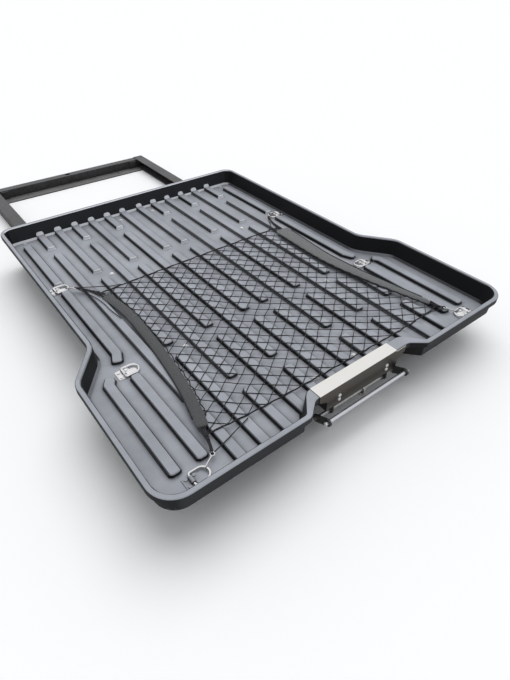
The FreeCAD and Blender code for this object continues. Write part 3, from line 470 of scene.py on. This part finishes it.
def sweep(points, radius, sides, vertices, faces):
    # adds a closed tube along the points; radius is a number or one for each point
    count = len(points)
    radii = radius if isinstance(radius, list) else [radius] * count
    start = len(vertices)
    side = None
    for i, point in enumerate(points):
        heading = (points[min(i + 1, count - 1)] - points[max(i - 1, 0)]).normalized()
        if side is None:
            side = heading.orthogonal().normalized()
        side = (side - heading * side.dot(heading)).normalized()
        up = heading.cross(side)
        for k in range(sides):
            angle = 2 * math.pi * k / sides
            vertices.append(point + (side * math.cos(angle) + up * math.sin(angle)) * radii[i])
    for i in range(count - 1):
        for k in range(sides):
            here, following = start + i * sides, start + (i + 1) * sides
            faces.append((here + k, here + (k + 1) % sides,
                          following + (k + 1) % sides, following + k))
    faces.append(tuple(start + k for k in reversed(range(sides))))
    faces.append(tuple(start + (count - 1) * sides + k for k in range(sides)))


def smoothLine(points, step):
    # an even run of points on a smooth curve through the given ones
    padded = [points[0] * 2 - points[1]] + list(points) + [points[-1] * 2 - points[-2]]
    fine = []
    for a, b, c, d in zip(padded, padded[1:], padded[2:], padded[3:]):
        parts = max(2, int((c - b).length / step))
        for i in range(parts):
            t = i / parts
            fine.append(0.5 * (2 * b + (c - a) * t + (2 * a - 5 * b + 4 * c - d) * t * t
                               + (3 * b - a - 3 * c + d) * t ** 3))
    fine.append(Vector(points[-1]))
    return fine


# tray: the moulding with its sharp edges eased

def makeTray():
    look = {"ease": 0.0011, "segments": 2, "angle": math.radians(24)}
    source = nodes["tray"]
    tray = bpy.data.objects.new("trayMoulding", source.data.copy())
    collection.objects.link(tray)
    shape = bmesh.new()
    shape.from_mesh(tray.data)
    bmesh.ops.remove_doubles(shape, verts=shape.verts, dist=0.00002)
    bmesh.ops.dissolve_degenerate(shape, dist=0.00002, edges=shape.edges)
    shape.to_mesh(tray.data)
    shape.free()
    for face in tray.data.polygons:
        face.use_smooth = True
    tray.data.set_sharp_from_angle(angle=look["angle"])
    bevel = tray.modifiers.new("easedEdges", "BEVEL")
    bevel.width = look["ease"]
    bevel.segments = look["segments"]
    bevel.limit_method = "ANGLE"
    bevel.angle_limit = look["angle"]
    bevel.use_clamp_overlap = True
    even = tray.modifiers.new("evenShading", "WEIGHTED_NORMAL")
    even.keep_sharp = True
    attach(tray, "carriage")
    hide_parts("tray")


makeTray()
trayTree = BVHTree.FromPolygons([v.co for v in nodes["tray"].data.vertices],
                                [p.vertices for p in nodes["tray"].data.polygons])
print("tray eased")


def surfaceUnder(x, y):
    hit = trayTree.ray_cast(Vector((x, y, trayHigh.z + 0.1)), Vector((0, 0, -1)))
    return hit[0].z if hit[0] else trayFloor


# tabs at the front, where ribs climb the wall

tabLook = {"height": 0.013, "depth": 0.011, "ease": 0.004, "from": -0.5, "to": 0.5, "step": 0.002,
           "probe": 0.016, "sink": 0.003, "shoulder": 0.55, "crown": 0.95}
tabProfile = ((0.0, -0.004), (1.0, -0.004), (1.0, 0.0), (0.72, 0.34), (0.46, 0.72),
              (0.28, 0.95), (0.12, 1.0), (0.0, 1.0))  # share of the depth, and of the height


def frontWallAt(x):
    # where the floor ends at the front wall
    y = trayHigh.y - 0.09
    while surfaceUnder(x, y) < ribTop + 0.006 and y < trayHigh.y:
        y += 0.001
    return y


def makeTabs():
    runs, x = [], tabLook["from"]
    while x < tabLook["to"]:
        if surfaceUnder(x, frontWallAt(x) - tabLook["probe"]) > ribTop - 0.001:
            if runs and x - runs[-1][1] < 1.5 * tabLook["step"]:
                runs[-1][1] = x
            else:
                runs.append([x, x])
        x += tabLook["step"]
    vertices, faces = [], []
    for low, high in runs:
        wall = frontWallAt((low + high) / 2) + tabLook["sink"]
        start = len(vertices)
        shoulder, crown, ease = tabLook["shoulder"], tabLook["crown"], tabLook["ease"]
        for x, share in ((low - 0.001, shoulder), (low + ease, crown), ((low + high) / 2, 1.0),
                         (high - ease, crown), (high + 0.001, shoulder)):
            for back, rise in tabProfile:
                vertices.append(Vector((x, wall - tabLook["depth"] * back * (0.5 + 0.5 * share),
                                        ribTop + (rise * tabLook["height"] * share
                                                  if rise > 0 else rise))))
        for i in range(4):
            for k in range(8):
                here, out = start + i * 8, start + (i + 1) * 8
                faces.append((here + k, here + (k + 1) % 8, out + (k + 1) % 8, out + k))
        faces.append(tuple(start + k for k in reversed(range(8))))
        faces.append(tuple(start + 32 + k for k in range(8)))
    tabs = newPiece("frontRibTabs", vertices, faces, trayPlastic)
    shape = bmesh.new()
    shape.from_mesh(tabs.data)
    bmesh.ops.recalc_face_normals(shape, faces=shape.faces)
    shape.to_mesh(tabs.data)
    shape.free()
    tabs.data.set_sharp_from_angle(angle=math.radians(50))
    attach(tabs, "carriage")
    print("front tabs:", len(runs))


makeTabs()

# cargo net

noise.seed_set(5)  # the same wobble in each run
netLook = {"cordRadius": 0.0012, "knotRadius": 0.0024, "borderKnot": 0.0032, "edgeRadius": 0.002,
           "sides": 5, "across": 15, "along": 17, "parts": 5, "jitter": 0.004, "sag": 0.0003,
           "scallop": 0.0022, "scallopRun": 1.56, "edgeParts": 150}
netSides = {
    "left": [(-427, 148), (-398, 290), (-381, 432), (-369, 575), (-362, 718), (-376, 860)],
    "right": [(452, 130), (424, 276), (401, 422), (386, 568), (388, 714), (393, 862)],
}
netMiddle = {"front": 866.0, "rear": 125.0}


def bow(points, t):
    # the place at share t of the smooth curve through evenly counted points
    count = len(points) - 1
    i = min(int(t * count), count - 1)
    t = t * count - i
    a = points[i - 1] if i else points[0] * 2 - points[1]
    b, c = points[i], points[i + 1]
    d = points[i + 2] if i + 2 <= count else points[-1] * 2 - points[-2]
    return 0.5 * (2 * b + (c - a) * t + (2 * a - 5 * b + 4 * c - d) * t * t
                  + (3 * b - a - 3 * c + d) * t ** 3)


leftSide = [onTray(*point) for point in netSides["left"]]
rightSide = [onTray(*point) for point in netSides["right"]]


def netEdge(left, right, middle, u):
    straight = left.lerp(right, u)
    target = onTray(0, middle).y
    pull = (target - (left.y + right.y) / 2) * (1 - (2 * u - 1) ** 4)
    return straight + Vector((0, pull, 0))


def netPlace(u, v):
    # the net's place at shares u across and v along, between its four edges
    left, right = bow(leftSide, v), bow(rightSide, v)
    rear = netEdge(leftSide[0], rightSide[0], netMiddle["rear"], u)
    front = netEdge(leftSide[-1], rightSide[-1], netMiddle["front"], u)
    corners = (leftSide[0].lerp(rightSide[0], u)).lerp(leftSide[-1].lerp(rightSide[-1], u), v)
    place = left.lerp(right, u) + rear.lerp(front, v) - corners
    fade = min(1.0, 8 * min(u, v, 1 - u, 1 - v))
    wobble = noise.noise_vector(place * 17) + noise.noise_vector(place * 55) * 0.45
    return place + Vector((wobble.x, wobble.y, 0)) * netLook["jitter"] * fade


def netCrossings():
    # every crossing with its height: on what is high, and stretched over what is low
    across, along = 2 * netLook["across"], 2 * netLook["along"]
    places, floor = {}, {}
    for i in range(across + 1):
        for j in range(i % 2, along + 1, 2):
            place = netPlace(i / across, j / along)
            places[(i, j)] = place
            floor[(i, j)] = surfaceUnder(place.x, place.y) + netLook["cordRadius"]
            if i in (0, across) or j in (0, along):
                floor[(i, j)] = ribTop + netLook["edgeRadius"]
    height = dict(floor)
    for _ in range(120):
        for (i, j), low in floor.items():
            around = [height[spot] for spot in ((i - 1, j - 1), (i + 1, j - 1), (i - 1, j + 1),
                                                (i + 1, j + 1)) if spot in height]
            height[(i, j)] = max(low, sum(around) / len(around) - netLook["sag"])
    for spot, place in places.items():
        place.z = height[spot]
    return places


def netCord(places, i, j, step):
    # one cord from the border crossing at i and j, through each crossing on its way
    across, along = 2 * netLook["across"], 2 * netLook["along"]
    line = [places[(i, j)]]
    while (i + 1, j + step) in places:
        low, high = places[(i, j)].z, places[(i + 1, j + step)].z
        for part in range(1, netLook["parts"] + 1):
            t = part / netLook["parts"]
            place = netPlace((i + t) / across, (j + step * t) / along)
            rest = surfaceUnder(place.x, place.y) + netLook["cordRadius"] + 0.0002
            place.z = max(rest, low + (high - low) * t)
            line.append(place)
        i, j = i + 1, j + step
    return line


def addKnot(centre, size, vertices, faces, seed):
    turn = Matrix.Rotation(seed * 2.4, 3, "Z")
    start = len(vertices)
    rings, around = 4, 6
    for i in range(rings + 1):
        tilt = math.pi * i / rings
        for k in range(around):
            angle = 2 * math.pi * k / around
            lump = 1 + 0.18 * math.sin(3 * angle + seed)
            local = Vector((1.35 * math.sin(tilt) * math.cos(angle) * lump,
                            math.sin(tilt) * math.sin(angle) * lump, 0.8 * math.cos(tilt)))
            vertices.append(centre + turn @ local * size)
    for i in range(rings):
        for k in range(around):
            here, below = start + i * around, start + (i + 1) * around
            faces.append((here + k, below + k, below + (k + 1) % around, here + (k + 1) % around))


def makeNet():
    vertices, faces = [], []
    places = netCrossings()
    across, along = 2 * netLook["across"], 2 * netLook["along"]
    starts = [(0, j, 1) for j in range(0, along, 2)] + [(i, 0, 1) for i in range(2, across, 2)]
    starts += [(0, j, -1) for j in range(2, along + 1, 2)]
    starts += [(i, along, -1) for i in range(2, across, 2)]
    for i, j, step in starts:
        line = netCord(places, i, j, step)
        sweep(line, netLook["cordRadius"], netLook["sides"], vertices, faces)
    for seed, ((i, j), place) in enumerate(places.items()):
        border = i in (0, across) or j in (0, along)
        addKnot(place, netLook["borderKnot" if border else "knotRadius"], vertices, faces, seed)
    for middle, ends in ((netMiddle["front"], (leftSide[-1], rightSide[-1])),
                         (netMiddle["rear"], (leftSide[0], rightSide[0]))):
        line = [netEdge(*ends, middle, i / netLook["edgeParts"])
                for i in range(netLook["edgeParts"] + 1)]
        for point in line:
            wave = abs(math.sin(point.x * math.pi * across / netLook["scallopRun"]))
            point.y += netLook["scallop"] * (1 - wave) * (1 if middle > 500 else -1)
            point.z = ribTop + netLook["edgeRadius"] + 0.0004
        sweep(line, netLook["edgeRadius"], 8, vertices, faces)
    net = newPiece("cargoNetCords", vertices, faces, slotMaterials["net_cord"])
    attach(net, "carriage")
    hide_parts("cargo_net")
    print("net:", len(places), "knots,", len(faces), "faces")
    return net


net = makeNet()

# webbing bands, and the draw cords along their edges

bandLook = {"thick": 0.0022, "rise": 0.0034, "ruffle": 0.0009, "wave": 0.011, "crown": 0.0016,
            "gather": 0.012, "bundle": 0.78, "step": 0.004}
bandSizes = {  # shares of the width from the rear end to the front, and the way in at the middle
    "left": {"width": 0.032, "lift": 0.0, "shares": (1.0, 1.0, 1.0), "inward": 0.009},
    "right": {"width": 0.050, "lift": 0.007, "shares": (0.26, 0.74, 1.05), "inward": 0.006},
}
# the right band gets the webbing's painted-light copy
bandCloth = {"left": slotMaterials["net_webbing"], "right": litWebbingPaint}
# the right band's inner cord is drawn thicker: a dark cord that also stands for the painted shadow
# along that band's inner edge
drawLook = {"radius": 0.0017, "wave": 0.036, "swing": 0.0045, "rightCordAndShadowRadius": 0.0026}


def bandLine(side):
    turn = Vector((1 if side == "left" else -1, 0, 0)) * bandSizes[side]["inward"]
    along = [bow(leftSide if side == "left" else rightSide, 0.03 + t / 10 * 0.94)
             + turn * math.sin(math.pi * t / 10) for t in range(11)]
    return smoothLine(along, bandLook["step"])


def bandShare(side, t):
    rear, middle, front = bandSizes[side]["shares"]
    return rear + (middle - rear) * 2 * t if t < 0.5 else middle + (front - middle) * (2 * t - 1)


def acrossLine(points, i):
    heading = points[min(i + 1, len(points) - 1)] - points[max(i - 1, 0)]
    heading = Vector((heading.x, heading.y, 0)).normalized()
    return Vector((-heading.y, heading.x, 0))


def makeBand(side):
    width, lift = bandSizes[side]["width"], bandSizes[side]["lift"]
    outward = 1 if side == "left" else -1
    points = bandLine(side)
    count = len(points)
    ribs = 11
    upper, lower = [], []
    for i, point in enumerate(points):
        across = acrossLine(points, i)
        travelled = i * bandLook["step"]
        fromEnd = min(i, count - 1 - i) * bandLook["step"]
        gathered = min(1.0, fromEnd / bandLook["gather"])
        share = bandLook["bundle"] + (1 - bandLook["bundle"]) * gathered ** 0.8
        share *= bandShare(side, i / (count - 1))
        for k in range(ribs):
            s = 2 * k / (ribs - 1) - 1
            flute = math.sin(travelled / bandLook["wave"] * 2 * math.pi + 2.1 * s)
            fold = (1 - gathered) * 0.003 * math.sin(k * 2.2)
            height = (bandLook["rise"] + bandLook["crown"] * (1 - s * s)
                      + lift * gathered * (1 + s * outward) / 2
                      + bandLook["ruffle"] * flute * abs(s) + fold)
            place = point + across * s * width / 2 * share
            upper.append(Vector((place.x, place.y, ribTop + height)))
            lower.append(Vector((place.x, place.y, ribTop + height - bandLook["thick"])))
    vertices = upper + lower
    faces = []
    total = len(upper)
    for i in range(count - 1):
        for k in range(ribs - 1):
            a = i * ribs + k
            faces.append((a, a + 1, a + ribs + 1, a + ribs))
            faces.append((total + a, total + a + ribs, total + a + ribs + 1, total + a + 1))
        for k, turned in ((0, False), (ribs - 1, True)):
            a = i * ribs + k
            rim = (a, a + ribs, total + a + ribs, total + a)
            faces.append(tuple(reversed(rim)) if turned else rim)
    for i, turned in ((0, True), (count - 1, False)):
        for k in range(ribs - 1):
            a = i * ribs + k
            rim = (a, a + 1, total + a + 1, total + a)
            faces.append(tuple(reversed(rim)) if turned else rim)
    name = "netBand" + side.capitalize()
    band = newPiece(name, vertices, faces, bandCloth[side])
    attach(band, "carriage")
    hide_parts("net_webbing_" + side)


def makeDrawCords():
    # the cords that run along both bands, looped round the net's meshes on the inner side
    vertices, faces = [], []
    for side in ("left", "right"):
        width = bandSizes[side]["width"]
        outward = 1 if side == "left" else -1
        points = bandLine(side)
        for edge, swing in ((1, 0.0), (-1, drawLook["swing"])):
            line = []
            for i in range(8, len(points) - (44 if edge > 0 and side == "left" else 8), 2):
                loop = abs(math.sin(i * bandLook["step"] / drawLook["wave"] * math.pi))
                reach = width / 2 * bandShare(side, i / (len(points) - 1)) + 0.001 + swing * loop
                place = points[i] + acrossLine(points, i) * outward * edge * reach
                lift = bandSizes[side]["lift"] if edge > 0 else 0.0
                place.z = ribTop + drawLook["radius"] + lift + 0.002
                line.append(place)
            thick = drawLook["rightCordAndShadowRadius" if side == "right" and edge < 0 else "radius"]
            sweep(line, thick, 7, vertices, faces)
    cords = newPiece("netDrawCords", vertices, faces, slotMaterials["net_cord"])
    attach(cords, "carriage")
    return cords


makeBand("left")
makeBand("right")
drawCords = makeDrawCords()

# corner cords, from the net's corners to the hooks' eyes

cornerLook = {"radius": 0.0014, "spread": 0.0045, "step": 0.004, "height": 0.0035,
              "bandReach": 0.024, "eyeInset": 0.0067, "knot": 0.0042,
              "wrap": 0.0052, "wrapBack": 0.004, "wrapHeight": 0.0034, "wrapParts": 12}
cornerStrands = {  # each edge cord's way from the net to the hook, on the tray in millimetres
    "front_left": [[(-300, 866), (-338, 880), (-366, 898)],
                   [(-386, 690), (-394, 750), (-396, 800), (-404, 845), (-416, 884)]],
    "front_right": [[(352, 868), (376, 882)]],
    "rear_left": [[(-318, 125), (-360, 113), (-398, 102)]],
    "rear_right": [[(372, 125), (420, 118), (452, 108)]],
}


def eyeOf(hook, ring):
    # the middle of a hook's eye, the part that lies furthest from its ring
    low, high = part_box(ring)
    ringMiddle = (low + high) / 2
    spots = [v.co.copy() for v in nodes[hook].data.vertices]
    far = max(spots, key=lambda p: (p.xy - ringMiddle.xy).length)
    inward = ringMiddle - far
    inward.z = 0
    return far + inward.normalized() * cornerLook["eyeInset"]


def makeCornerCords():
    made = []
    for end, index in (("front", -1), ("rear", 0)):
        for side, line in (("left", leftSide), ("right", rightSide)):
            place = end + "_" + side
            ring = "lashing_ring_" + place
            eye = eyeOf("net_hook_" + place, ring)
            corner = line[index].copy()
            corner.z = ribTop + cornerLook["height"]
            vertices, faces = [], []
            heading = (eye - corner).normalized()
            across = Vector((-heading.y, heading.x, 0)).normalized()
            root = corner + Vector((0, cornerLook["bandReach"] * (1 if end == "rear" else -1), 0))
            for shift in (-2, -1, 0, 1, 2):
                middle = corner.lerp(eye, 0.45) + across * shift * cornerLook["spread"] * 0.3
                start = root + across * shift * cornerLook["spread"]
                start.z += 0.0006 * abs(shift)
                path = smoothLine([start, middle, eye + across * shift * 0.0016],
                                  cornerLook["step"])
                sweep(path, cornerLook["radius"], 8, vertices, faces)
            for strand in cornerStrands[place]:
                path = [onTray(x, y, 12 + 1000 * cornerLook["height"]) for x, y in strand]
                sweep(smoothLine(path + [eye], cornerLook["step"]), cornerLook["radius"], 8,
                      vertices, faces)
            turns = [a / cornerLook["wrapParts"] * 2 * math.pi
                     for a in range(cornerLook["wrapParts"] + 1)]
            wrap = [eye + heading * (cornerLook["wrap"] * math.cos(turn) - cornerLook["wrapBack"])
                    + Vector((0, 0, cornerLook["wrapHeight"] * math.sin(turn))) for turn in turns]
            sweep(wrap, cornerLook["radius"] * 0.9, 8, vertices, faces)
            for seed, share in enumerate((0.12, 0.3, 0.86)):
                addKnot(corner.lerp(eye, share), cornerLook["knot"], vertices, faces, seed)
            cords = newPiece("netCornerCords_" + place, vertices, faces, slotMaterials["net_cord"])
            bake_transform(cords)
            made.append(cords)
    return made


cornerCords = makeCornerCords()
print("net's cords made")

# the rear left ring's plate and screws take the tray's material: a painted dark reflection in place
# of their bright steel

def splitFilmed(node, name, reach):
    source = nodes[node]
    low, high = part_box("lashing_ring_rear_left")
    middle = (low + high) / 2
    for label, paintedDark, slot in ((name, False, slotOf[node]),
                                (name + "Filmed", True, "tray_plastic")):
        part = bpy.data.objects.new(label, source.data.copy())
        collection.objects.link(part)
        shape = bmesh.new()
        shape.from_mesh(part.data)
        other = [face for face in shape.faces
                 if ((face.calc_center_median().xy - middle.xy).length < reach) != paintedDark]
        bmesh.ops.delete(shape, geom=other, context="FACES")
        shape.to_mesh(part.data)
        shape.free()
        if paintedDark:
            part.data.materials[0] = trayPlastic
        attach(part, "carriage")
        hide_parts(node)


paintedDarkReach = 0.12
splitFilmed("ring_plates", "ringPlates", paintedDarkReach)
splitFilmed("ring_screws", "ringScrews", paintedDarkReach)

# pressed dishes that the rings lie over

dishLook = {"length": 0.036, "width": 0.03, "height": 0.0019, "rings": 5, "around": 28,
            "shift": 0.010}


def makeDishes():
    vertices, faces = [], []
    for end in ("front", "middle", "rear"):
        for side in ("left", "right"):
            if (end, side) == ("rear", "left"):
                continue
            low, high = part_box("lashing_ring_%s_%s" % (end, side))
            centre = (low + high) / 2
            inward = 1 if side == "left" else -1
            start = len(vertices)
            for i in range(dishLook["rings"] + 1):
                t = i / dishLook["rings"]
                rise = dishLook["height"] * math.sqrt(max(0.0, 1 - t ** 4))
                for k in range(dishLook["around"]):
                    angle = 2 * math.pi * k / dishLook["around"]
                    vertices.append(Vector((
                        centre.x + dishLook["length"] / 2 * t * math.cos(angle)
                        + inward * dishLook["shift"] * 0.4,
                        centre.y + dishLook["width"] / 2 * t * math.sin(angle),
                        trayFloor + rise)))
            around = dishLook["around"]
            for i in range(dishLook["rings"]):
                for k in range(around):
                    here, out = start + i * around, start + (i + 1) * around
                    faces.append((here + k, out + k, out + (k + 1) % around,
                                  here + (k + 1) % around))
    dishes = newPiece("ringDishes", vertices, faces, slotMaterials["ring_chrome"])
    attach(dishes, "carriage")


makeDishes()
print("ring dishes made")

# floor, light and camera

studio = {"floorGrey": 0.7, "floorHalf": 40, "floorDrop": 0.0005, "world": 0.5,
          "key": 1.35, "keyAngle": 60, "keyFrom": (0.35, 0.25, 1.0),
          "fill": 0.6, "fillAngle": 90, "fillFrom": (0.5, 0.8, 0.8)}


def makeFloor():
    material, tree, shader = newMaterial("floorPaper", roughness=0.9, specular=0.0)
    rays = tree.nodes.new("ShaderNodeLightPath")
    tone = addNode(tree, "ShaderNodeMix", data_type="RGBA")
    tone.inputs[6].default_value = (studio["floorGrey"],) * 3 + (1.0,)
    tone.inputs[7].default_value = (1.0, 1.0, 1.0, 1.0)
    tree.links.new(rays.outputs["Is Camera Ray"], tone.inputs["Factor"])
    tree.links.new(tone.outputs[2], shader.inputs["Base Color"])
    half = studio["floorHalf"]
    floor = newPiece("studioFloor", [(-half, -half, 0), (half, -half, 0), (half, half, 0),
                                     (-half, half, 0)], [(0, 1, 2, 3)], material)
    floor.location.z = -studio["floorDrop"]


def makeWorld():
    world = bpy.data.worlds.new("studioWorld")
    bpy.context.scene.world = world
    world.use_nodes = True
    tree = world.node_tree
    tree.nodes.clear()
    rays = tree.nodes.new("ShaderNodeLightPath")
    seen = addNode(tree, "ShaderNodeMath", operation="MAXIMUM")
    tree.links.new(rays.outputs["Is Camera Ray"], seen.inputs[0])
    glints = addNode(tree, "ShaderNodeMath", operation="MAXIMUM")
    tree.links.new(rays.outputs["Is Glossy Ray"], glints.inputs[0])
    tree.links.new(rays.outputs["Is Transmission Ray"], glints.inputs[1])
    tree.links.new(glints.outputs["Value"], seen.inputs[1])
    dim = addNode(tree, "ShaderNodeBackground", {"Color": (0.94, 0.97, 1.0, 1.0),
                                                 "Strength": studio["world"]})
    white = addNode(tree, "ShaderNodeBackground", {"Color": (1.0, 1.0, 1.0, 1.0),
                                                   "Strength": 1.0})
    mix = tree.nodes.new("ShaderNodeMixShader")
    out = tree.nodes.new("ShaderNodeOutputWorld")
    tree.links.new(seen.outputs["Value"], mix.inputs["Fac"])
    tree.links.new(dim.outputs["Background"], mix.inputs[1])
    tree.links.new(white.outputs["Background"], mix.inputs[2])
    tree.links.new(mix.outputs["Shader"], out.inputs["Surface"])


def addLamp(name, source, power, angle):
    # a wide soft light from one direction, even over the whole floor
    lamp = bpy.data.lights.new(name, "SUN")
    lamp.energy = power
    lamp.angle = math.radians(angle)
    thing = bpy.data.objects.new(name, lamp)
    thing.rotation_euler = (-Vector(source)).to_track_quat("-Z", "Y").to_euler()
    thing.visible_glossy = False
    collection.objects.link(thing)


def addCamera():
    view = {"place": (-0.79646, -1.94039, 1.03637), "yaw": 38.115, "down": 40.033,
            "roll": 0.367, "lens": 25.57}
    yaw, down, roll = (math.radians(view[k]) for k in ("yaw", "down", "roll"))
    ahead = Vector((math.sin(yaw) * math.cos(down), math.cos(yaw) * math.cos(down),
                    -math.sin(down)))
    right = Vector((math.cos(yaw), -math.sin(yaw), 0))
    up = right.cross(ahead)
    turned = right * math.cos(roll) + up * math.sin(roll)
    upright = up * math.cos(roll) - right * math.sin(roll)
    camera = bpy.data.cameras.new("photoCamera")
    camera.lens = view["lens"]
    camera.sensor_width = 36.0
    thing = bpy.data.objects.new("photoCamera", camera)
    axes = Matrix((turned, upright, -ahead)).transposed().to_4x4()
    thing.matrix_world = Matrix.Translation(view["place"]) @ axes
    collection.objects.link(thing)
    bpy.context.scene.camera = thing


makeFloor()
makeWorld()
addLamp("keySky", studio["keyFrom"], studio["key"], studio["keyAngle"])
addLamp("fillSky", studio["fillFrom"], studio["fill"], studio["fillAngle"])
addCamera()
bpy.context.scene.view_settings.view_transform = "Standard"
print("studio set")
